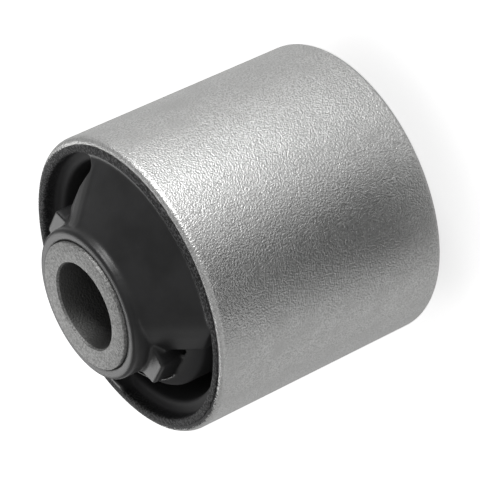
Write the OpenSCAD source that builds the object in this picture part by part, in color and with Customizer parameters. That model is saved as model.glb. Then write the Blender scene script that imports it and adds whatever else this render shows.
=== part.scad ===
// Rubber-metal bush: a steel outer sleeve and a steel inner tube held together
// by one rubber moulding. The bore axis is Z. The bush stands on the end of its
// inner tube, with the lower tube face at Z = 0. X runs through the two lugs, and
// the wide arm of the moulding points to -Y, the slim one to +Y.

/* [Inner tube] */
// Length of the inner tube, which is the length of the whole bush
tube_len = 60; // [58:0.5:80]
// Outer diameter of the inner tube
tube_od = 21.5; // [20:0.1:22.5]
// Bore of the inner tube, a running fit on an M14 bolt
bolt_bore = 14.2; // [10:0.1:16.5]
// Radial width of the chamfer at each mouth of the bore
bore_chamfer_w = 0.4; // [0.2:0.1:0.8]
// Depth of the chamfer at each mouth of the bore
bore_chamfer_h = 0.8; // [0.3:0.1:1.5]

/* [Outer sleeve] */
// Outside diameter of the outer sleeve, the press-fit size
sleeve_od = 50; // [49:0.1:54]
// Wall thickness of the outer sleeve
sleeve_wall = 2; // [1.5:0.1:2.5]
// Length of the outer sleeve
sleeve_len = 43.6; // [38:0.1:44.5]
// Radius of the rounded corner at each end of the outer sleeve
sleeve_corner_r = 1; // [0.5:0.1:1.2]

/* [Lining and neck] */
// Thickness of the rubber lining inside the outer sleeve
lining_t = 0.5; // [0.4:0.1:0.8]
// Thickness of the rubber lip that covers each end face of the sleeve
lip_t = 0.3; // [0.2:0.1:0.6]
// Thickness of the rubber neck around the inner tube
neck_t = 2; // [1.5:0.1:2.4]
// How far the neck stops short of each end of the inner tube
neck_setback = 0.45; // [0.2:0.05:0.8]
// Radius of the rounded edge at the end of the neck
neck_edge_r = 0.65; // [0.3:0.05:0.8]

/* [Arms] */
// Angle of the wide arm, seen along the bore
wide_arm_angle = 91; // [80:1:106]
// Angle of the slim arm on the other side
slim_arm_angle = 24; // [16:1:40]
// Width of the wide arm's sloping flank, which runs down to a bump stop
flank_w = 7; // [4:0.1:8]
// Drop of the flank over that width, square to the cone
flank_drop = 3.4; // [2:0.1:5]
// Depth of the top of the arms' cone below the end of the inner tube, where the cone leaves the neck
cone_setback = 1.9; // [1.7:0.1:4]
// Depth of the foot of the cone below the lip
cone_sink = 0.3; // [0.1:0.1:1.5]
// Radius of the hollow curve between the neck and the cone, where the neck has room for it
cone_fillet_r = 1.2; // [0.5:0.1:1.4]

/* [Voids] */
// Radius of a void's outer corners, seen along the bore
void_corner_r = 2; // [0.8:0.1:2.6]
// Angle at each end of a void where the pad rises to the lip's level
pad_end_angle = 7; // [5:0.5:10]
// Thickness of the stop pad that lines the outer wall of a void
pad_t = 2; // [1.5:0.05:2.6]
// Radius of the edge at the pad's end
pad_edge_r = 0.7; // [0.3:0.1:1.2]
// Depth of the pad's end below the lip
pad_setback = 2.5; // [1.5:0.1:5]
// Width of the slot between the pad and the bump stop
slot_w = 2.75; // [2:0.05:3.2]
// Width of the bump stop's sloping end, measured along the radius
crest_w = 2; // [1.5:0.1:2.4]
// Drop of the bump stop's sloping end, from the lip's level to the slot
crest_drop = 2.5; // [1.5:0.1:4]
// Depth of the hollow between the neck and the bump stop, below the lip
pocket_depth = 3.5; // [2:0.1:6]
// Radial run of the sloping side of the hollow
pocket_slope = 0.8; // [0.3:0.1:1.2]

/* [Lugs] */
// Reach of a lug beyond the neck
lug_reach = 2.85; // [2:0.05:3]
// Width of a lug where it leaves the neck
lug_root_w = 8; // [7:0.1:9]
// Width of a lug at its tip
lug_tip_w = 6; // [4.5:0.1:6.8]
// Height of a lug's flat face above the lip
lug_rise = 4; // [2:0.05:4.6]
// Radius of the two corners at a lug's tip
lug_corner_r = 0.8; // [0.3:0.1:1.5]

/* [Hidden] */
$fn = 96;

steel = "silver";
rubber = [0.17, 0.17, 0.18];
// Overrun of a cutting shape past the face that it cuts
over = 1;
// Overrun of a void's rounded corner into the wall outside it
corner_over = 0.1;
// Step from the outer side of a bump stop back to the flank that ends on it
flank_step = 0.3;
// Height over the cone where the flank begins inside the arm
flank_lift = 0.7;

sleeve_r = sleeve_od / 2;
sleeve_bore_r = sleeve_r - sleeve_wall;
lining_r = sleeve_bore_r - lining_t;
tube_r = tube_od / 2;
bore_r = bolt_bore / 2;
neck_r = tube_r + neck_t;
lip_r = sleeve_r - sleeve_corner_r;

// Heights above the middle of the bush
tube_top = tube_len / 2;
sleeve_top = sleeve_len / 2;
lip_top = sleeve_top + lip_t;
neck_top = tube_top - neck_setback;
cone_top = tube_top - cone_setback;
cone_foot = lip_top - cone_sink;
pad_top = lip_top - pad_setback;
pocket_floor = lip_top - pocket_depth;

// Radii of the parts of a void
pad_r = lining_r - pad_t;
stop_r = pad_r - slot_w;
crest_r = stop_r - crest_w;
lug_r = neck_r + lug_reach;

// Half the angle of a void, and the angle of its middle beyond X
void_half = 90 - (wide_arm_angle + slim_arm_angle) / 4;
void_middle = (wide_arm_angle - slim_arm_angle) / 4;

// Angle of the cone below the horizontal, and the centre of its hollow curve
cone_angle = atan2(cone_top - cone_foot, lining_r - neck_r);
fillet_reach = 1 / cos(cone_angle) - tan(cone_angle);
hollow_r = min(cone_fillet_r, (neck_top - neck_edge_r - cone_top) / fillet_reach);
fillet_r = neck_r + hollow_r;
fillet_z = cone_top + hollow_r * fillet_reach;
// Height of the cone's point, far above the neck
cone_point = cone_top + neck_r * tan(cone_angle);

// Points of an arc in the plane of a section, from one angle to another
function arc(x, y, r, from, to, steps = 8) =
    [for (i = [0 : steps]) let (a = from + (to - from) * i / steps) [x + r * cos(a), y + r * sin(a)]];

// Outline of a section that is the same above and below the middle, from its upper half
function whole(points) =
    concat(points, [for (i = [len(points) - 1 : -1 : 0]) [points[i][0], -points[i][1]]]);

module outer_sleeve() {
    corner_z = sleeve_top - sleeve_corner_r;
    color(steel) translate([0, 0, tube_top]) rotate_extrude() {
        translate([sleeve_bore_r, -sleeve_top]) square([sleeve_wall - sleeve_corner_r, sleeve_len]);
        translate([sleeve_bore_r, -corner_z]) square([sleeve_wall, 2 * corner_z]);
        for (z = [-corner_z, corner_z]) translate([lip_r, z]) circle(r = sleeve_corner_r);
    }
}

module inner_tube() {
    color(steel) translate([0, 0, tube_top]) rotate_extrude() polygon(whole([
        [tube_r, tube_top],
        [bore_r + bore_chamfer_w, tube_top],
        [bore_r, tube_top - bore_chamfer_h]
    ]));
}

// Section of the moulding through its arms: lip, cone, hollow curve and neck
module arm_section() {
    polygon(whole(concat(
        [[sleeve_bore_r, sleeve_top], [lip_r, sleeve_top]],
        [[lip_r, lip_top], [lining_r, lip_top], [lining_r, cone_foot]],
        arc(fillet_r, fillet_z, hollow_r, 270 - cone_angle, 180),
        arc(neck_r - neck_edge_r, neck_top - neck_edge_r, neck_edge_r, 0, 90),
        [[tube_r, neck_top]]
    )));
}

// Section of the air over the pad, with the pad's rounded edge
module recess_section() {
    polygon(concat(
        [[neck_r, tube_top + over], [lining_r, tube_top + over], [lining_r, pad_top]],
        arc(pad_r + pad_edge_r, pad_top - pad_edge_r, pad_edge_r, 90, 180),
        [[neck_r, pad_top - pad_edge_r]]
    ));
}

// What stands up inside a void between the neck and the slot
module stop_section() {
    polygon(whole([
        [stop_r, lip_top - crest_drop],
        [crest_r, lip_top],
        [crest_r - pocket_slope, pocket_floor],
        [tube_r, pocket_floor]
    ]));
}

// Plan of a void: a wedge with its two corners rounded inside the wall at the radius given
module void_plan(half_angle, wall_r) {
    corner_at = wall_r - void_corner_r + corner_over;
    corner_angle = half_angle - asin(void_corner_r / corner_at);
    corner_x = corner_at * cos(corner_angle);
    corner_y = corner_at * sin(corner_angle);
    outside = sleeve_od * [cos(corner_angle), sin(corner_angle)];
    rotate(void_middle) polygon(concat(
        [[0, 0]],
        arc(corner_x, -corner_y, void_corner_r, -90 - half_angle, -corner_angle),
        [[outside.x, -outside.y], outside],
        arc(corner_x, corner_y, void_corner_r, corner_angle, 90 + half_angle)
    ));
}

// Flank of the wide arm over the upper bump stop, sloping away from the arm's edge
module arm_flank() {
    arm_edge = wide_arm_angle / 2 - 90;
    intersection() {
        cylinder(h = 2 * tube_len, r = stop_r - flank_step, center = true);
        translate([0, 0, cone_point]) rotate([0, cone_angle, arm_edge]) rotate([90, 0, 90]) linear_extrude(sleeve_od)
            polygon([
                [-over, flank_lift],
                [flank_w, -flank_drop],
                [flank_w, -tube_r],
                [-over, -tube_r]
            ]);
    }
}

// The air of the void on the side of +X: recesses over the pad, the slot and the hollows
module void_cut() {
    difference() {
        union() {
            for (end = [0, 1]) mirror([0, 0, end]) intersection() {
                rotate_extrude() recess_section();
                linear_extrude(tube_len) void_plan(void_half - pad_end_angle, lining_r);
            }
            linear_extrude(2 * tube_len, center = true) intersection() {
                void_plan(void_half, pad_r);
                difference() {
                    circle(r = pad_r);
                    circle(r = neck_r);
                }
            }
        }
        rotate_extrude() stop_section();
        for (end = [0, 1]) mirror([0, 0, end]) arm_flank();
    }
}

// Plan of a lug, with its root buried in the neck
module lug_plan() {
    corner_x = lug_r - lug_corner_r;
    corner_y = lug_tip_w / 2 - lug_corner_r;
    root_x = neck_r - neck_t / 2;
    polygon([
        [root_x, -lug_root_w / 2],
        [corner_x, -lug_tip_w / 2],
        [corner_x, lug_tip_w / 2],
        [root_x, lug_root_w / 2]
    ]);
    translate([corner_x, -corner_y]) square([lug_corner_r, 2 * corner_y]);
    for (y = [-corner_y, corner_y]) translate([corner_x, y]) circle(r = lug_corner_r);
}

module lug() {
    lug_foot = pocket_floor - over;
    translate([0, 0, lug_foot]) linear_extrude(lip_top + lug_rise - lug_foot) lug_plan();
}

module rubber_body() {
    color(rubber) translate([0, 0, tube_top]) {
        difference() {
            rotate_extrude() arm_section();
            for (side = [0, 1]) mirror([side, 0, 0]) void_cut();
        }
        for (side = [0, 1]) mirror([side, 0, 0]) lug();
    }
}

outer_sleeve();
rubber_body();
inner_tube();
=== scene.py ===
"""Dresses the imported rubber-metal bush: pebbled steel sleeve, rubber moulding and faced steel tube."""

import logging
import math
from collections.abc import Callable, Iterator
from contextlib import contextmanager
from dataclasses import dataclass
from enum import Enum
from typing import Any

import bpy
from mathutils import Matrix, Vector


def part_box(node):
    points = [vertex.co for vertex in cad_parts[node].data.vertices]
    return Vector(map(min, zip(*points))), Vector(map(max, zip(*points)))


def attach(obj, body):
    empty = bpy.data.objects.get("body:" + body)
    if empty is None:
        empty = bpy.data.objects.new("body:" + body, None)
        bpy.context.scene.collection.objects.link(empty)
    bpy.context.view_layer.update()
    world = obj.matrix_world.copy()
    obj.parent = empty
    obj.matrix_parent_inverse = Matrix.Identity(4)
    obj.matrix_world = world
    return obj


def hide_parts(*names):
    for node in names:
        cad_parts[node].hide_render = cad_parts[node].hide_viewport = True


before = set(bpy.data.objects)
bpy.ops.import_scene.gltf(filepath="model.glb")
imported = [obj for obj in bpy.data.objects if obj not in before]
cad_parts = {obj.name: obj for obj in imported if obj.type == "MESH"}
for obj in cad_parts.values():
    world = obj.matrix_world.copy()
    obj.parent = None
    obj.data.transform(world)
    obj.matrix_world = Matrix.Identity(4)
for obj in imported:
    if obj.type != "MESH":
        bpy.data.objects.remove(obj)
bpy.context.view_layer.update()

log = logging.getLogger("bush")

MM = 0.001
# Sides of a round wall
ROUND_STEPS = 256
# Distance within which two places count as one
NEAR = 0.02 * MM
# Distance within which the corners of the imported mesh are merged
MERGE = 0.002 * MM
# Least upright share of an end face's normal
UPRIGHT = 0.9
# Size of the cube that blocks are cut from, and depth of a cut right through
BLOCK = 200 * MM
# Body that every piece belongs to
BODY = "root"


class Slot(Enum):
    """The record's material slots."""

    SLEEVE = "sleeve_steel"
    RUBBER = "rubber"
    TUBE = "tube_steel"


class Side(Enum):
    """The moulding's two voids, as the sign of their place along X."""

    OPEN = 1
    WEBBED = -1


class End(Enum):
    """The two ends of the bush, as the sign of the end's face normal along Z."""

    UPPER = 1
    LOWER = -1


# Helpers for modelling


def deselect_all() -> None:
    """Leaves object mode's selection empty."""
    bpy.ops.object.select_all(action="DESELECT")


def take_up(piece: bpy.types.Object) -> None:
    """Makes a piece the only selected and the active object.

    Args:
        piece: The object that the next operators act on.
    """
    deselect_all()
    piece.select_set(True)
    bpy.context.view_layer.objects.active = piece


@contextmanager
def edit(piece: bpy.types.Object) -> Iterator[None]:
    """Opens a piece in edit mode with nothing selected, and closes it again.

    Args:
        piece: The object to edit.

    Yields:
        Nothing, while edit mode is open.
    """
    take_up(piece)
    bpy.ops.object.mode_set(mode="EDIT")
    bpy.ops.mesh.select_all(action="DESELECT")
    yield
    bpy.ops.object.mode_set(mode="OBJECT")


def pick_end_faces(piece: bpy.types.Object) -> None:
    """Selects the faces of a piece in edit mode that look straight up or down.

    Args:
        piece: The object in edit mode.
    """
    bpy.ops.mesh.select_mode(type="FACE")
    bpy.ops.object.mode_set(mode="OBJECT")
    for face in piece.data.polygons:
        face.select = abs(face.normal.z) > UPRIGHT
    bpy.ops.object.mode_set(mode="EDIT")


def pick_edges(piece: bpy.types.Object, test: Callable[[Vector], bool]) -> None:
    """Selects the edges of a piece in edit mode whose two end points pass a test.

    Args:
        piece: The object in edit mode.
        test: Says of a point whether it is wanted.
    """
    bpy.ops.mesh.select_mode(type="EDGE")
    bpy.ops.mesh.select_all(action="DESELECT")
    bpy.ops.object.mode_set(mode="OBJECT")
    points = piece.data.vertices
    for edge in piece.data.edges:
        edge.select = all(test(points[i].co) for i in edge.vertices)
    bpy.ops.object.mode_set(mode="EDIT")


def pick_outer_rims(tube: bpy.types.Object, radius: float, half: float) -> None:
    """Selects the two round edges where the outside of an upright tube meets its end faces.

    Args:
        tube: The tube in edit mode, with its middle at its own origin.
        radius: Its outside radius.
        half: Half its length.
    """
    pick_edges(
        tube,
        lambda point: abs(radius_of(point) - radius) < NEAR and abs(abs(point.z) - half) < NEAR,
    )


def finish_piece(
    piece: bpy.types.Object,
    name: str,
    material: bpy.types.Material,
    smooth: float = 30,
) -> None:
    """Names a finished piece, applies its place, shades it smooth and gives it its material.

    Args:
        piece: The modelled object.
        name: The piece's name.
        material: The finish it gets.
        smooth: The sharpest edge that is shaded smooth, in degrees.
    """
    take_up(piece)
    bpy.ops.object.transform_apply(location=True, rotation=True, scale=True)
    bpy.ops.object.shade_smooth_by_angle(angle=math.radians(smooth))
    piece.name = name
    piece.data.name = name
    piece.data.materials.clear()
    piece.data.materials.append(material)


def apply_modifier(piece: bpy.types.Object, kind: str, **settings: Any) -> None:
    """Adds a modifier to a piece and applies it.

    Args:
        piece: The object to change.
        kind: Blender's name of the modifier's type.
        settings: The modifier's settings.
    """
    take_up(piece)
    modifier = piece.modifiers.new(kind.title(), kind)
    for key, value in settings.items():
        setattr(modifier, key, value)
    bpy.ops.object.modifier_apply(modifier=modifier.name)


def carve(planes: list[tuple[Vector, Vector]]) -> bpy.types.Object:
    """Models a block with flat faces.

    Args:
        planes: A point on each face, and the direction in which the face looks.

    Returns:
        What a large cube keeps behind all the planes.
    """
    deselect_all()
    bpy.ops.mesh.primitive_cube_add(size=BLOCK)
    block = bpy.context.active_object
    for point, outward in planes:
        with edit(block):
            bpy.ops.mesh.select_all(action="SELECT")
            bpy.ops.mesh.bisect(plane_co=point, plane_no=outward, use_fill=True, clear_outer=True)
    return block


def turn_rod(
    radius: float,
    steps: int = ROUND_STEPS,
    depth: float = BLOCK,
    place: Vector | tuple[float, float, float] = (0, 0, 0),
) -> bpy.types.Object:
    """Models an upright round rod, to start a tube from or to cut with.

    Args:
        radius: The rod's radius.
        steps: How many sides it has.
        depth: Its length.
        place: Its middle.

    Returns:
        The rod.
    """
    deselect_all()
    bpy.ops.mesh.primitive_cylinder_add(vertices=steps, radius=radius, depth=depth, location=place)
    return bpy.context.active_object


def cut(piece: bpy.types.Object, tool: bpy.types.Object, how: str = "DIFFERENCE") -> None:
    """Cuts a piece with a tool, and deletes the tool.

    Args:
        piece: The object to change.
        tool: The closed object that cuts it.
        how: Blender's name of the boolean operation.
    """
    apply_modifier(piece, "BOOLEAN", operation=how, object=tool, solver="EXACT")
    bpy.data.objects.remove(tool, do_unlink=True)


def radius_of(point: Vector) -> float:
    """Returns a point's distance from the bush's axis."""
    return math.hypot(point.x, point.y)


def measured(value: float) -> float:
    """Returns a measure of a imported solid, rounded to a ten-thousandth of a millimetre."""
    return round(value, 7)


# Helpers for materials


def srgb(code: str) -> tuple[float, float, float, float]:
    """Turns an sRGB hex colour into linear values.

    Args:
        code: Six hex digits after a hash sign.

    Returns:
        Linear red, green and blue, and an alpha of one.
    """
    parts = [int(code[i : i + 2], 16) / 255 for i in (1, 3, 5)]
    red, green, blue = (p / 12.92 if p <= 0.04045 else ((p + 0.055) / 1.055) ** 2.4 for p in parts)
    return red, green, blue, 1.0


def add_node(
    tree: bpy.types.NodeTree,
    kind: str,
    inputs: dict[str | int, Any] | None = None,
    **settings: Any,
) -> bpy.types.Node:
    """Adds a node with its settings, values and links.

    Args:
        tree: The node tree that gets the node.
        kind: Blender's type name of the node.
        inputs: Input values and incoming sockets by the input's name or number.
        settings: The node's own properties.

    Returns:
        The new node.
    """
    node = tree.nodes.new(kind)
    for key, value in settings.items():
        setattr(node, key, value)
    for key, value in (inputs or {}).items():
        if isinstance(value, bpy.types.NodeSocket):
            tree.links.new(value, node.inputs[key])
        else:
            node.inputs[key].default_value = value
    return node


def new_material(name: str) -> tuple[bpy.types.Material, bpy.types.NodeTree]:
    """Starts a material with an empty node tree.

    Args:
        name: The material's name.

    Returns:
        The material and its node tree.
    """
    material = bpy.data.materials.new(name)
    material.use_nodes = True
    material.node_tree.nodes.clear()
    return material, material.node_tree


def noise(
    tree: bpy.types.NodeTree,
    place: bpy.types.NodeSocket,
    pitch: float,
    detail: float = 2.0,
) -> bpy.types.NodeSocket:
    """Adds a soft random pattern.

    Args:
        tree: The node tree that gets the pattern.
        place: The coordinates that it follows.
        pitch: The size of its patches in metres.
        detail: How much finer detail it holds.

    Returns:
        A value from zero to one.
    """
    pattern = add_node(tree, "ShaderNodeTexNoise", {"Vector": place, "Scale": 1 / pitch, "Detail": detail})
    return pattern.outputs["Fac"]


def ramp(
    tree: bpy.types.NodeTree,
    value: bpy.types.NodeSocket,
    start: float,
    end: float,
    low: float = 0.0,
    high: float = 1.0,
) -> bpy.types.NodeSocket:
    """Maps a range of a value onto another range, and stops at its ends.

    Args:
        tree: The node tree that gets the node.
        value: The value to map.
        start: Where the range begins.
        end: Where the range ends.
        low: The result at the beginning.
        high: The result at the end.

    Returns:
        The mapped value.
    """
    sizes = {"Value": value, "From Min": start, "From Max": end, "To Min": low, "To Max": high}
    return add_node(tree, "ShaderNodeMapRange", sizes, clamp=True).outputs["Result"]


def combine(
    tree: bpy.types.NodeTree,
    how: str,
    first: bpy.types.NodeSocket,
    second: bpy.types.NodeSocket | float = 0.0,
) -> bpy.types.NodeSocket:
    """Changes a varying value by arithmetic.

    Args:
        tree: The node tree that gets the node.
        how: Blender's name of the operation.
        first: The varying value.
        second: The second value, where the operation takes one.

    Returns:
        The result.
    """
    return add_node(tree, "ShaderNodeMath", {0: first, 1: second}, operation=how).outputs["Value"]


def blend(
    tree: bpy.types.NodeTree,
    share: bpy.types.NodeSocket,
    first: bpy.types.NodeSocket | str,
    second: bpy.types.NodeSocket | str,
) -> bpy.types.NodeSocket:
    """Blends two colours by a varying share.

    Args:
        tree: The node tree that gets the node.
        share: How much of the second colour shows.
        first: The colour where the share is zero, as a hex code or from another node.
        second: The colour where the share is one, as a hex code or from another node.

    Returns:
        The blended colour.
    """
    ends = [srgb(colour) if isinstance(colour, str) else colour for colour in (first, second)]
    return add_node(tree, "ShaderNodeMix", {0: share, 6: ends[0], 7: ends[1]}, data_type="RGBA").outputs[2]


def place_along(tree: bpy.types.NodeTree, place: bpy.types.NodeSocket, axis: str) -> bpy.types.NodeSocket:
    """Returns the part of each point's place that lies along one axis, X, Y or Z."""
    return add_node(tree, "ShaderNodeSeparateXYZ", {0: place}).outputs[axis]


def distance_from_axis(tree: bpy.types.NodeTree, place: bpy.types.NodeSocket) -> bpy.types.NodeSocket:
    """Returns the distance of each point of a surface from the bush's axis."""
    flat = add_node(tree, "ShaderNodeVectorMath", {0: place, 1: (1, 1, 0)}, operation="MULTIPLY")
    length = add_node(tree, "ShaderNodeVectorMath", {0: flat.outputs["Vector"]}, operation="LENGTH")
    return length.outputs["Value"]


# Finishes


@dataclass(frozen=True)
class PebbledSteel:
    """Blasted mild steel: fine dents break up a broad satin reflection, and rubber specks its rim.

    Attributes:
        outer_r: Outside radius of the sleeve.
        bright: Colour of the peaks.
        dull: Colour of the greyer grains.
        grain_split: Heights in the pebbles where the dull grains end and the bright ones begin.
        tarnish: Colour of the soft dull patches.
        tarnish_pitch: Size of those patches.
        tarnish_split: Values in their pattern where they begin and are full.
        roughness: Roughness of the satin.
        pebble_pitch: Size of the dents.
        pebble_depth: Depth of the dents.
        residue: Colour of the rubber left on the rim.
        residue_roughness: Roughness of that rubber.
        residue_setback: Distance from the outside to the middle of the ring where it thins out.
        residue_fade: Half the width of that ring.
        residue_split: How much of the pattern is bare steel at the ring's inner and outer side.
        clean_y: Where along Y the rim begins to be wiped clean.
        wiped_y: Where along Y it is cleanest.
        wiped: How much more of the pattern is bare steel there.
    """

    outer_r: float
    bright: str = "#d6d6d5"
    dull: str = "#b0b0af"
    grain_split: tuple[float, float] = (0.35, 0.6)
    tarnish: str = "#bebebd"
    tarnish_pitch: float = 4 * MM
    tarnish_split: tuple[float, float] = (0.45, 0.8)
    roughness: float = 0.4
    pebble_pitch: float = 0.28 * MM
    pebble_depth: float = 0.14 * MM
    residue: str = "#232324"
    residue_roughness: float = 0.6
    residue_setback: float = 0.55 * MM
    residue_fade: float = 0.5 * MM
    residue_split: tuple[float, float] = (0.2, 0.8)
    clean_y: float = 0.0
    wiped_y: float = -12 * MM
    wiped: float = 0.45

    def colour(
        self,
        tree: bpy.types.NodeTree,
        place: bpy.types.NodeSocket,
        pebbles: bpy.types.NodeSocket,
    ) -> bpy.types.NodeSocket:
        """Adds the steel's colour.

        Args:
            tree: The node tree that gets the nodes.
            place: The coordinates that the patches follow.
            pebbles: The pattern of the dents.

        Returns:
            The colour.
        """
        grains = blend(tree, ramp(tree, pebbles, *self.grain_split), self.dull, self.bright)
        patches = ramp(tree, noise(tree, place, self.tarnish_pitch, detail=6.0), *self.tarnish_split)
        return blend(tree, patches, grains, self.tarnish)

    def rim_cover(self, tree: bpy.types.NodeTree, place: bpy.types.NodeSocket) -> bpy.types.NodeSocket:
        """Adds the pattern of the rubber that is left on the rim.

        Args:
            tree: The node tree that gets the nodes.
            place: The coordinates that it follows.

        Returns:
            One where rubber covers the steel, and zero elsewhere.
        """
        ring_r = self.outer_r - self.residue_setback
        inner, outer = ring_r - self.residue_fade, ring_r + self.residue_fade
        bare = ramp(tree, distance_from_axis(tree, place), inner, outer, *self.residue_split)
        wiped = ramp(tree, place_along(tree, place, "Y"), self.clean_y, self.wiped_y, 0.0, self.wiped)
        hold = combine(tree, "ADD", bare, wiped)
        return combine(tree, "GREATER_THAN", noise(tree, place, self.pebble_pitch, detail=3.0), hold)

    def material(self) -> bpy.types.Material:
        """Returns the sleeve's material."""
        material, tree = new_material("blasted_mild_steel")
        place = add_node(tree, "ShaderNodeTexCoord").outputs["Object"]
        pebbles = noise(tree, place, self.pebble_pitch)
        bump = add_node(tree, "ShaderNodeBump", {"Height": pebbles, "Distance": self.pebble_depth})
        steel = add_node(
            tree,
            "ShaderNodeBsdfPrincipled",
            {
                "Base Color": self.colour(tree, place, pebbles),
                "Metallic": 1.0,
                "Roughness": self.roughness,
                "Normal": bump.outputs["Normal"],
            },
        )
        rubber = add_node(
            tree,
            "ShaderNodeBsdfPrincipled",
            {
                "Base Color": srgb(self.residue),
                "Roughness": self.residue_roughness,
                "Normal": bump.outputs["Normal"],
            },
        )
        surface = add_node(
            tree,
            "ShaderNodeMixShader",
            {0: self.rim_cover(tree, place), 1: steel.outputs["BSDF"], 2: rubber.outputs["BSDF"]},
        )
        add_node(tree, "ShaderNodeOutputMaterial", {"Surface": surface.outputs["Shader"]})
        return material


@dataclass(frozen=True)
class MouldedRubber:
    """Carbon-black natural rubber from a steel mould: a dull satin, with painted light that makes it greyer
    in the voids, and a speckled lip.

    Attributes:
        middle: Height of the bush's middle.
        lining_r: Distance from the axis where the trimmed lip begins.
        lip_fade: Width over which it does.
        deep: Colour of the clean rubber.
        dusty: Colour of its faintly bloomed patches.
        bloom_pitch: Size of those patches.
        bloom_split: Values in their pattern where they begin and are full.
        torn: Colour of the dark grains on the trimmed lip.
        dust: Colour of the light grains there.
        speck_pitch: Size of the lip's grains.
        speck_split: Values in their pattern where the dark ones end and the light ones begin.
        tear_depth: Depth of the lip's roughness.
        painted_void_light: Colour of the rubber down in the voids, a lighter grey that is painted light
            standing in for the light that reaches them.
        painted_light_start: Height from the middle where it begins.
        painted_light_full: Height from the middle within which it covers all.
        roughness: Roughness of the satin.
        matt: Roughness of the trimmed lip and of the rubber down in the voids.
        ior: Index of refraction.
        grain_pitch: Size of the mould's grain.
        grain_depth: Depth of that grain.
    """

    middle: float
    lining_r: float
    lip_fade: float = 0.1 * MM
    deep: str = "#0f0f10"
    dusty: str = "#202021"
    bloom_pitch: float = 5 * MM
    bloom_split: tuple[float, float] = (0.35, 0.65)
    torn: str = "#0a0a0a"
    dust: str = "#5f5f60"
    speck_pitch: float = 0.32 * MM
    speck_split: tuple[float, float] = (0.45, 0.62)
    tear_depth: float = 0.16 * MM
    painted_void_light: str = "#3a3a3b"
    painted_light_start: float = 22 * MM
    painted_light_full: float = 20 * MM
    roughness: float = 0.4
    matt: float = 0.75
    ior: float = 1.5
    grain_pitch: float = 0.3 * MM
    grain_depth: float = 0.015 * MM

    def on_lip(self, tree: bpy.types.NodeTree, place: bpy.types.NodeSocket) -> bpy.types.NodeSocket:
        """Returns one on the trimmed lip and zero elsewhere."""
        half = self.lip_fade / 2
        return ramp(tree, distance_from_axis(tree, place), self.lining_r - half, self.lining_r + half)

    def painted_light_in_voids(self, tree: bpy.types.NodeTree, place: bpy.types.NodeSocket) -> bpy.types.NodeSocket:
        """Returns the share of the painted light in the voids: one down in the voids, zero at the lips and
        above, and a blend between.
        """
        off_middle = combine(tree, "SUBTRACT", place_along(tree, place, "Z"), self.middle)
        return ramp(tree, combine(tree, "ABSOLUTE", off_middle), self.painted_light_start, self.painted_light_full)

    def material(self) -> bpy.types.Material:
        """Returns the moulding's material."""
        material, tree = new_material("moulded_natural_rubber")
        place = add_node(tree, "ShaderNodeTexCoord").outputs["Object"]
        lip, void_light_share = self.on_lip(tree, place), self.painted_light_in_voids(tree, place)
        bloom = ramp(tree, noise(tree, place, self.bloom_pitch, detail=4.0), *self.bloom_split)
        specks = noise(tree, place, self.speck_pitch)
        # Painted light: the clean rubber is blended towards a lighter grey down in the voids, in place of the
        # light that reaches them.
        moulded = blend(tree, void_light_share, blend(tree, bloom, self.deep, self.dusty), self.painted_void_light)
        trimmed = blend(tree, ramp(tree, specks, *self.speck_split), self.torn, self.dust)
        grain = add_node(
            tree,
            "ShaderNodeBump",
            {"Height": noise(tree, place, self.grain_pitch), "Distance": self.grain_depth},
        )
        tears = add_node(
            tree,
            "ShaderNodeBump",
            {
                "Height": specks,
                "Strength": lip,
                "Distance": self.tear_depth,
                "Normal": grain.outputs["Normal"],
            },
        )
        rough = combine(tree, "MAXIMUM", lip, void_light_share)
        shader = add_node(
            tree,
            "ShaderNodeBsdfPrincipled",
            {
                "Base Color": blend(tree, lip, moulded, trimmed),
                "Roughness": ramp(tree, rough, 0, 1, self.roughness, self.matt),
                "IOR": self.ior,
                "Normal": tears.outputs["Normal"],
            },
        )
        add_node(tree, "ShaderNodeOutputMaterial", {"Surface": shader.outputs["BSDF"]})
        return material


@dataclass(frozen=True)
class FacedSteel:
    """Cold-drawn steel tube with a faced end: a finely grained, matt grey, darker in the bore.

    Attributes:
        bore_r: Radius of the bore.
        bright: Colour of the clean metal.
        dull: Colour of its greyer grains.
        grain_split: Values in the grain where the bright ones end and the dull ones begin.
        scale: Colour of the mill scale in the bore.
        scale_t: Distance from the bore's wall within which that scale is left.
        roughness: Roughness of the face.
        grain_pitch: Size of the grain.
        grain_depth: Depth of the grain.
    """

    bore_r: float
    bright: str = "#a2a2a1"
    dull: str = "#7c7c7b"
    grain_split: tuple[float, float] = (0.35, 0.65)
    scale: str = "#5c5c5b"
    scale_t: float = 0.2 * MM
    roughness: float = 0.6
    grain_pitch: float = 0.32 * MM
    grain_depth: float = 0.12 * MM

    def material(self) -> bpy.types.Material:
        """Returns the inner tube's material."""
        material, tree = new_material("faced_drawn_steel")
        place = add_node(tree, "ShaderNodeTexCoord").outputs["Object"]
        grain = noise(tree, place, self.grain_pitch)
        bump = add_node(tree, "ShaderNodeBump", {"Height": grain, "Distance": self.grain_depth})
        faced = blend(tree, ramp(tree, grain, *self.grain_split), self.bright, self.dull)
        inside = combine(tree, "LESS_THAN", distance_from_axis(tree, place), self.bore_r + self.scale_t)
        shader = add_node(
            tree,
            "ShaderNodeBsdfPrincipled",
            {
                "Base Color": blend(tree, inside, faced, self.scale),
                "Metallic": 1.0,
                "Roughness": self.roughness,
                "Normal": bump.outputs["Normal"],
            },
        )
        add_node(tree, "ShaderNodeOutputMaterial", {"Surface": shader.outputs["BSDF"]})
        return material


# Sub-assemblies


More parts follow.
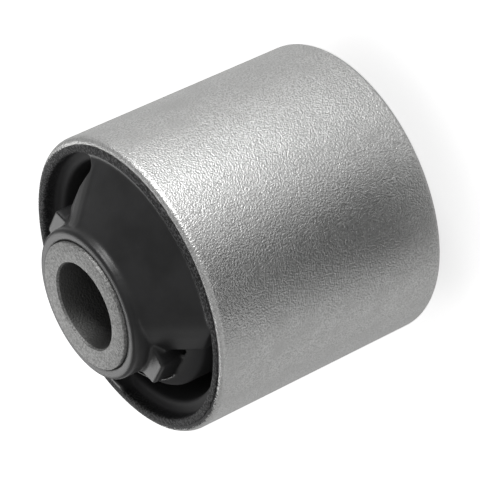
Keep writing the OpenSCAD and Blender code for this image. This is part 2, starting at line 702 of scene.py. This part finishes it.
@dataclass
class OuterSleeve:
    """The steel sleeve that is pressed into its eye.

    Attributes:
        outer_r: Outside radius.
        low: Height of the lower end.
        high: Height of the upper end.
        wall: Wall thickness.
        corner_r: Radius of the rounded outer corners.
        corner_steps: How many faces round off a corner.
    """

    outer_r: float
    low: float
    high: float
    wall: float = 2 * MM
    corner_r: float = 1 * MM
    corner_steps: int = 8

    @classmethod
    def from_frame(cls) -> "OuterSleeve":
        """Takes the sleeve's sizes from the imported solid."""
        lo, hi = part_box("outer_sleeve")
        return cls(outer_r=hi.x, low=lo.z, high=hi.z)

    def build(self) -> bpy.types.Object:
        """Models the sleeve as a tube with rounded outer corners and returns it."""
        length = self.high - self.low
        sleeve = turn_rod(self.outer_r, depth=length, place=(0, 0, (self.high + self.low) / 2))
        with edit(sleeve):
            pick_end_faces(sleeve)
            bpy.ops.mesh.inset(thickness=self.wall)
            bpy.ops.mesh.bridge_edge_loops()
            pick_outer_rims(sleeve, self.outer_r, length / 2)
            bpy.ops.mesh.bevel(offset=self.corner_r, segments=self.corner_steps, profile=0.5)
        return sleeve

    def dress(self, sleeve: bpy.types.Object) -> bpy.types.Object:
        """Gives the sleeve its finish and lets it stand for the solid.

        Args:
            sleeve: The modelled sleeve.

        Returns:
            The finished piece.
        """
        finish_piece(sleeve, "sleeve_shell", PebbledSteel(self.outer_r).material())
        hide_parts("outer_sleeve")
        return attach(sleeve, BODY)


@dataclass
class InnerTube:
    """The thick steel tube that the bolt clamps.

    Attributes:
        outer_r: Outside radius.
        length: Length, from the floor up.
        bore_r: Radius of the bore.
        chamfer_w: Radial width of the chamfer at each mouth of the bore.
        chamfer_h: Depth of that chamfer.
        rim_bevel: Width of the broken outer edge.
        rim_steps: How many faces break that edge.
    """

    outer_r: float
    length: float
    bore_r: float = 7.1 * MM
    chamfer_w: float = 0.4 * MM
    chamfer_h: float = 0.8 * MM
    rim_bevel: float = 0.12 * MM
    rim_steps: int = 2

    @classmethod
    def from_frame(cls) -> "InnerTube":
        """Takes the tube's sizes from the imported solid."""
        lo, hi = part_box("inner_tube")
        return cls(outer_r=hi.x, length=hi.z - lo.z)

    def build(self) -> bpy.types.Object:
        """Models the tube with its bore and chamfers and returns it."""
        tube = turn_rod(self.outer_r, depth=self.length, place=(0, 0, self.length / 2))
        mouth_r = self.bore_r + self.chamfer_w
        with edit(tube):
            pick_end_faces(tube)
            bpy.ops.mesh.inset(thickness=self.outer_r - mouth_r)
            bpy.ops.mesh.inset(thickness=self.chamfer_w, depth=-self.chamfer_h)
            bpy.ops.mesh.bridge_edge_loops()
            pick_outer_rims(tube, self.outer_r, self.length / 2)
            bpy.ops.mesh.bevel(offset=self.rim_bevel, segments=self.rim_steps, profile=0.5)
        return tube

    def dress(self, tube: bpy.types.Object) -> bpy.types.Object:
        """Gives the tube its finish and lets it stand for the solid.

        Args:
            tube: The modelled tube.

        Returns:
            The finished piece.
        """
        finish_piece(tube, "bolt_tube", FacedSteel(self.bore_r).material())
        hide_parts("inner_tube")
        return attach(tube, BODY)


@dataclass
class RubberMoulding:
    """The rubber between sleeve and tube, with the rounded edges that the mould gives it.

    The wide arm has a sloping flank towards each void. On one side the flank closes the end of the
    slot like a web, and on the other the slot runs past it to a round, open end.

    Attributes:
        middle: Height of the bush's middle.
        lip: Height of the lip above the middle.
        neck_r: Radius of the neck.
        lining_r: Radius of the lining's inner side.
        cone_rise: Height of the cone above the lip, where it leaves the neck.
        lip_t: Thickness of the rubber on the sleeve's end faces.
        lining_t: Thickness of the lining.
        neck_t: Thickness of the neck.
        cone_setback: Depth of the cone's top below the tube's end.
        cone_sink: Depth of the foot of the cone below the lip.
        pad_setback: Depth of the stop pad's end below the lip.
        lug_side: Distance of the lugs' sides from the plane through their middles.
        arm_edge: Direction of the wide arm's edge from the axis, in degrees, on the side of +X.
        flank_w: Width of a flank.
        flank_ease: Width over which it steepens.
        flank_steps: In how many steps it does.
        gentle: Slope of the first step.
        open_steep: Slope of the last step beside the open slot.
        web_steep: Slope of the last step where the flank closes the webbed slot's end.
        open_x: Distance from the middle plane to the flat outer side of the flank beside the open slot.
        web_x: Distance from the middle plane to the flat outer side of the web.
        arm_lap: How far a flank runs into the arm.
        wall_lap: How far it runs into the lining.
        neck_lap: How far it runs into the neck.
        neck_lean: How much its side in the neck leans.
        middle_lap: How far it runs past the middle plane.
        room_gap: Skin of the arm and the neck that is left beside the room cut for a flank.
        room_over: How much wider than the flank that room is.
        room_skin: Skin of the lining that is left outside it.
        room_rise: How far it reaches above the cone.
        open_room: Distance along the arm's edge to which the room beside the open slot reaches.
        slot_end_r: Radius of the round end of the open slot.
        slot_end_u: Distance of its centre from the axis, along the arm's edge.
        slot_end_d: Distance of its centre from that edge.
        slot_end_h: Height of the rod that cuts it, whose middle is at the lip.
        voxel: Size of the cells that the moulding is remeshed in.
        rounding: How many passes soften its edges.
        kept: Share of the faces kept.
    """

    middle: float
    lip: float
    neck_r: float
    lining_r: float
    cone_rise: float
    lip_t: float = 0.3 * MM
    lining_t: float = 0.5 * MM
    neck_t: float = 2 * MM
    cone_setback: float = 1.9 * MM
    cone_sink: float = 0.3 * MM
    pad_setback: float = 2.5 * MM
    lug_side: float = 4.05 * MM
    arm_edge: float = -44.5
    flank_w: float = 7 * MM
    flank_ease: float = 3.5 * MM
    flank_steps: int = 6
    gentle: float = 0.15
    open_steep: float = 0.65
    web_steep: float = 0.95
    open_x: float = 14.6 * MM
    web_x: float = 17.4 * MM
    arm_lap: float = 0.8 * MM
    wall_lap: float = 0.2 * MM
    neck_lap: float = 1.25 * MM
    neck_lean: float = 0.17
    middle_lap: float = 1 * MM
    room_gap: float = 0.05 * MM
    room_over: float = 0.1 * MM
    room_skin: float = 0.03 * MM
    room_rise: float = 0.5 * MM
    open_room: float = 17.6 * MM
    slot_end_r: float = 2.5 * MM
    slot_end_u: float = 19.75 * MM
    slot_end_d: float = 2.65 * MM
    slot_end_h: float = 16 * MM
    voxel: float = 0.22 * MM
    rounding: int = 14
    kept: float = 0.17

    @classmethod
    def from_frame(cls) -> "RubberMoulding":
        """Takes the moulding's place from the two packed steel solids that it fills the space between."""
        sleeve, tube = OuterSleeve.from_frame(), InnerTube.from_frame()
        middle = measured(tube.length / 2)
        lip = measured(sleeve.high) - middle + cls.lip_t
        return cls(
            middle=middle,
            lip=lip,
            neck_r=measured(tube.outer_r) + cls.neck_t,
            lining_r=measured(sleeve.outer_r) - sleeve.wall - cls.lining_t,
            cone_rise=measured(tube.length) - middle - cls.cone_setback - lip,
        )

    def place(self, side: Side, end: End, along: float, across: float, high: float) -> Vector:
        """Finds a place beside the wide arm.

        Args:
            side: The void that it is in.
            end: The end of the bush that it is at.
            along: Distance from the axis along the arm's edge.
            across: Distance from that edge into the void.
            high: Height above the lip.

        Returns:
            The place in the bush's frame.
        """
        around = math.radians(self.arm_edge)
        x = along * math.cos(around) - across * math.sin(around)
        y = along * math.sin(around) + across * math.cos(around)
        return Vector((side.value * x, y, self.middle + end.value * (self.lip + high)))

    def look(self, side: Side, end: End, along: float, across: float, high: float) -> Vector:
        """Returns a direction in the same terms as place."""
        return self.place(side, end, along, across, high) - self.place(side, end, 0, 0, 0)

    def carve_beside(
        self,
        side: Side,
        end: End,
        faces: list[tuple[tuple[float, float, float], tuple[float, float, float]]],
        more: tuple[Vector, Vector],
    ) -> bpy.types.Object:
        """Models a block beside the wide arm.

        Args:
            side: The void that it is in.
            end: The end of the bush that it is at.
            faces: A point on each face and the face's outward direction, both in the terms of place.
            more: The same of one more face, in the bush's frame.

        Returns:
            The block.
        """
        planes = [(self.place(side, end, *point), self.look(side, end, *outward)) for point, outward in faces]
        return carve([*planes, more])

    def flank_block(self, side: Side, end: End) -> bpy.types.Object:
        """Models a flank: a block whose top leaves the cone at the arm's edge and falls away.

        Args:
            side: The void that it is in.
            end: The end of the bush that it is at.

        Returns:
            The block.
        """
        fall = (self.cone_rise + self.cone_sink) / (self.lining_r - self.neck_r)
        is_open = side is Side.OPEN
        steep, flat_x = (self.open_steep, self.open_x) if is_open else (self.web_steep, self.web_x)
        step = self.flank_ease / (self.flank_steps - 1)
        top = self.cone_rise + self.neck_r * fall
        faces = []
        for i in range(self.flank_steps):
            slope = self.gentle + (steep - self.gentle) * i / (self.flank_steps - 1)
            faces.append(((0, i * step, top), (fall, slope, 1)))
            top -= slope * step
        faces += [
            ((0, self.flank_w, 0), (0, 1, 0)),
            ((0, -self.arm_lap, 0), (0, -1, 0)),
            ((self.lining_r + self.wall_lap, 0, 0), (1, 0, 0)),
            ((self.neck_r - self.neck_lap, 0, 0), (-1, -self.neck_lean, 0)),
            ((0, 0, -self.lip - self.middle_lap), (0, 0, -1)),
        ]
        outer_side = Vector((side.value * flat_x, 0, 0)), Vector((side.value, 0, 0))
        return self.carve_beside(side, end, faces, outer_side)

    def clear_flank(self, moulding: bpy.types.Object, side: Side, end: End) -> None:
        """Cuts the room for a flank out of the moulding, and the round end of an open slot.

        Args:
            moulding: The moulding.
            side: The void to clear.
            end: The end of the bush that it is at.
        """
        reach = self.open_room if side is Side.OPEN else self.lining_r
        faces = [
            ((0, self.room_gap, 0), (0, -1, 0)),
            ((0, self.flank_w + self.room_over, 0), (0, 1, 0)),
            ((reach, 0, 0), (1, 0, 0)),
            ((self.neck_r / 2, 0, 0), (-1, 0, 0)),
            ((0, 0, -self.pad_setback), (0, 0, -1)),
            ((0, 0, self.cone_rise + self.room_rise), (0, 0, 1)),
        ]
        beside_lug = Vector((0, -self.lug_side, 0)), Vector((0, 1, 0))
        room = self.carve_beside(side, end, faces, beside_lug)
        cut(room, turn_rod(self.neck_r + self.room_gap))
        cut(room, turn_rod(self.lining_r - self.room_skin), "INTERSECT")
        cut(moulding, room)
        if side is Side.OPEN:
            centre = self.place(side, end, self.slot_end_u, self.slot_end_d, 0)
            cut(moulding, turn_rod(self.slot_end_r, ROUND_STEPS // 2, self.slot_end_h, centre))

    def build(self) -> bpy.types.Object:
        """Models the moulding from its solid and returns it."""
        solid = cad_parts["rubber_body"]
        moulding = solid.copy()
        moulding.data = solid.data.copy()
        moulding.parent = None
        for key in list(moulding.keys()):
            del moulding[key]
        bpy.context.collection.objects.link(moulding)
        with edit(moulding):
            bpy.ops.mesh.select_all(action="SELECT")
            bpy.ops.mesh.remove_doubles(threshold=MERGE)
        flanks = []
        for side in Side:
            for end in End:
                self.clear_flank(moulding, side, end)
                flanks.append(self.flank_block(side, end))
        take_up(moulding)
        for flank in flanks:
            flank.select_set(True)
        bpy.ops.object.join()
        apply_modifier(moulding, "REMESH", mode="VOXEL", voxel_size=self.voxel, adaptivity=0.0)
        apply_modifier(moulding, "SMOOTH", iterations=self.rounding, factor=0.5)
        apply_modifier(moulding, "DECIMATE", ratio=self.kept)
        return moulding

    def dress(self, moulding: bpy.types.Object) -> bpy.types.Object:
        """Gives the moulding its finish and lets it stand for the solid.

        Args:
            moulding: The modelled moulding.

        Returns:
            The finished piece.
        """
        finish = MouldedRubber(middle=self.middle, lining_r=self.lining_r)
        finish_piece(moulding, "rubber_moulding", finish.material(), smooth=75)
        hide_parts("rubber_body")
        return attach(moulding, BODY)


# Studio


@dataclass(frozen=True)
class Softbox:
    """A square soft lamp that faces the bush.

    Attributes:
        name: The lamp's name.
        azimuth: Where it stands, in degrees from +X towards +Y.
        elevation: Its height above the horizon, in degrees.
        distance: Its distance from the bush.
        size: Its width.
        power: Its power in watts.
    """

    name: str
    azimuth: float
    elevation: float
    distance: float
    size: float
    power: float

    def build(self, target: Vector) -> None:
        """Puts the lamp in its place.

        Args:
            target: The point that it faces.
        """
        around, above = math.radians(self.azimuth), math.radians(self.elevation)
        level = math.cos(above)
        outward = Vector((math.cos(around) * level, math.sin(around) * level, math.sin(above)))
        lamp = bpy.data.lights.new(self.name, "AREA")
        lamp.energy = self.power
        lamp.size = self.size
        stand = bpy.data.objects.new(self.name, lamp)
        stand.location = target + outward * self.distance
        stand.rotation_mode = "QUATERNION"
        stand.rotation_quaternion = (-outward).to_track_quat("-Z", "Y")
        bpy.context.collection.objects.link(stand)


@dataclass
class Studio:
    """Camera, lamps, floor and world.

    Attributes:
        eye: The camera's place.
        forward: The direction that it looks in.
        up: The picture's upward direction.
        lens: Focal length in millimetres on the sensor's width.
        sensor: The sensor's width in millimetres.
        nearest: How close to the camera a thing may be and still be seen.
        target: The bush's middle, which the lamps face.
        softboxes: The lamps.
        card_azimuth: Where the black card lies, in degrees from +X towards +Y.
        card_near: Distance of its nearer edge from the axis.
        card_far: Distance of its further edge.
        card_near_w: Width of the nearer edge.
        card_far_w: Width of the further edge.
        card_lift: Its height above the floor.
        card_black: Its colour.
        floor_size: Width of the floor.
        floor_white: The floor's colour.
        glow_seen: What the floor glows to the camera, so that it shows white round the shadow.
        glow_mirrored: What it glows in reflections.
        sky_seen: Strength of the world's light to the camera.
        sky_mirrored: Its strength in reflections.
        sky_fill: Its strength as fill light.
    """

    eye: Vector = Vector((-146.17, -392.88, 261.47)) * MM
    forward: Vector = Vector((0.30348, 0.82098, -0.48363))
    up: Vector = Vector((0.77915, -0.50599, -0.37000))
    lens: float = 224.1
    sensor: float = 36.0
    nearest: float = 10 * MM
    target: Vector = Vector((0, 0, 30)) * MM
    softboxes: tuple[Softbox, ...] = (
        Softbox("right_softbox", azimuth=-62.0, elevation=10.0, distance=0.5, size=0.2, power=1.6),
        Softbox("back_softbox", azimuth=70.0, elevation=29.0, distance=0.6, size=0.3, power=0.8),
        Softbox("left_softbox", azimuth=170.0, elevation=20.0, distance=0.5, size=0.25, power=0.13),
    )
    card_azimuth: float = -137.5
    card_near: float = 36 * MM
    card_far: float = 300 * MM
    card_near_w: float = 48 * MM
    card_far_w: float = 185 * MM
    card_lift: float = 1 * MM
    card_black: str = "#262626"
    floor_size: float = 6.0
    floor_white: str = "#f4f4f4"
    glow_seen: float = 0.68
    glow_mirrored: float = 0.2
    sky_seen: float = 1.0
    sky_mirrored: float = 0.45
    sky_fill: float = 0.3

    def place_camera(self) -> None:
        """Adds the camera at the photograph's viewing angle."""
        data = bpy.data.cameras.new("photo_camera")
        data.lens = self.lens
        data.sensor_width = self.sensor
        data.clip_start = self.nearest
        camera = bpy.data.objects.new("photo_camera", data)
        back = -self.forward.normalized()
        right = self.up.cross(back).normalized()
        turn = Matrix((right, back.cross(right), back)).transposed()
        camera.matrix_world = Matrix.Translation(self.eye) @ turn.to_4x4()
        bpy.context.collection.objects.link(camera)
        bpy.context.scene.camera = camera

    def place_lamps(self) -> None:
        """Adds the soft lamps round the bush."""
        for softbox in self.softboxes:
            softbox.build(self.target)

    def lay_floor(self) -> None:
        """Adds the plain pale floor, which shows white round the object's shadow."""
        deselect_all()
        bpy.ops.mesh.primitive_plane_add(size=self.floor_size)
        floor = bpy.context.active_object
        floor.name = "studio_floor"
        material, tree = new_material("matt_white_paper")
        path = add_node(tree, "ShaderNodeLightPath")
        seen = combine(tree, "MULTIPLY", path.outputs["Is Camera Ray"], self.glow_seen)
        mirrored = combine(tree, "MULTIPLY", path.outputs["Is Glossy Ray"], self.glow_mirrored)
        paper = add_node(tree, "ShaderNodeBsdfDiffuse", {"Color": srgb(self.floor_white)})
        glow = add_node(tree, "ShaderNodeEmission", {"Strength": combine(tree, "ADD", seen, mirrored)})
        lit = add_node(tree, "ShaderNodeAddShader", {0: paper.outputs["BSDF"], 1: glow.outputs["Emission"]})
        add_node(tree, "ShaderNodeOutputMaterial", {"Surface": lit.outputs["Shader"]})
        floor.data.materials.append(material)

    def lay_card(self) -> None:
        """Adds the black card on the floor, out of the picture, that gives the sleeve its dark band."""
        deselect_all()
        length = self.card_far - self.card_near
        bpy.ops.mesh.primitive_plane_add(size=length)
        card = bpy.context.active_object
        card.name = "black_card"
        for end, width in ((-1, self.card_near_w), (1, self.card_far_w)):
            with edit(card):
                pick_edges(card, lambda point: point.x * end > 0)
                bpy.ops.transform.resize(value=(1, width / length, 1))
        around = math.radians(self.card_azimuth)
        middle = (self.card_far + self.card_near) / 2
        card.location = (middle * math.cos(around), middle * math.sin(around), self.card_lift)
        card.rotation_euler.z = around
        material, tree = new_material("matt_black_card")
        paper = add_node(tree, "ShaderNodeBsdfDiffuse", {"Color": srgb(self.card_black)})
        add_node(tree, "ShaderNodeOutputMaterial", {"Surface": paper.outputs["BSDF"]})
        card.data.materials.append(material)
        card.visible_camera = card.visible_diffuse = card.visible_shadow = False

    def fill_world(self) -> None:
        """Lights the scene evenly: white to the camera, grey in reflections, and dimmer as fill light."""
        world = bpy.data.worlds.new("white_studio")
        world.use_nodes = True
        tree = world.node_tree
        tree.nodes.clear()
        path = add_node(tree, "ShaderNodeLightPath")
        seen = ramp(tree, path.outputs["Is Camera Ray"], 0, 1, self.sky_fill, self.sky_seen)
        mirrored = combine(tree, "MULTIPLY", path.outputs["Is Glossy Ray"], self.sky_mirrored)
        strength = combine(tree, "MAXIMUM", seen, mirrored)
        background = add_node(tree, "ShaderNodeBackground", {"Color": srgb("#ffffff"), "Strength": strength})
        add_node(tree, "ShaderNodeOutputWorld", {"Surface": background.outputs["Background"]})
        bpy.context.scene.world = world

    def build(self) -> None:
        """Sets up the whole studio."""
        bpy.context.scene.view_settings.view_transform = "Standard"
        self.place_camera()
        self.place_lamps()
        self.lay_floor()
        self.lay_card()
        self.fill_world()


def main() -> None:
    """Builds the studio and the bush in order."""
    logging.basicConfig(level=logging.INFO, format="%(message)s")
    Studio().build()
    for assembly in (OuterSleeve.from_frame(), InnerTube.from_frame(), RubberMoulding.from_frame()):
        piece = assembly.dress(assembly.build())
        log.info("%s: %d faces", piece.name, len(piece.data.polygons))


if __name__ == "__main__":
    main()
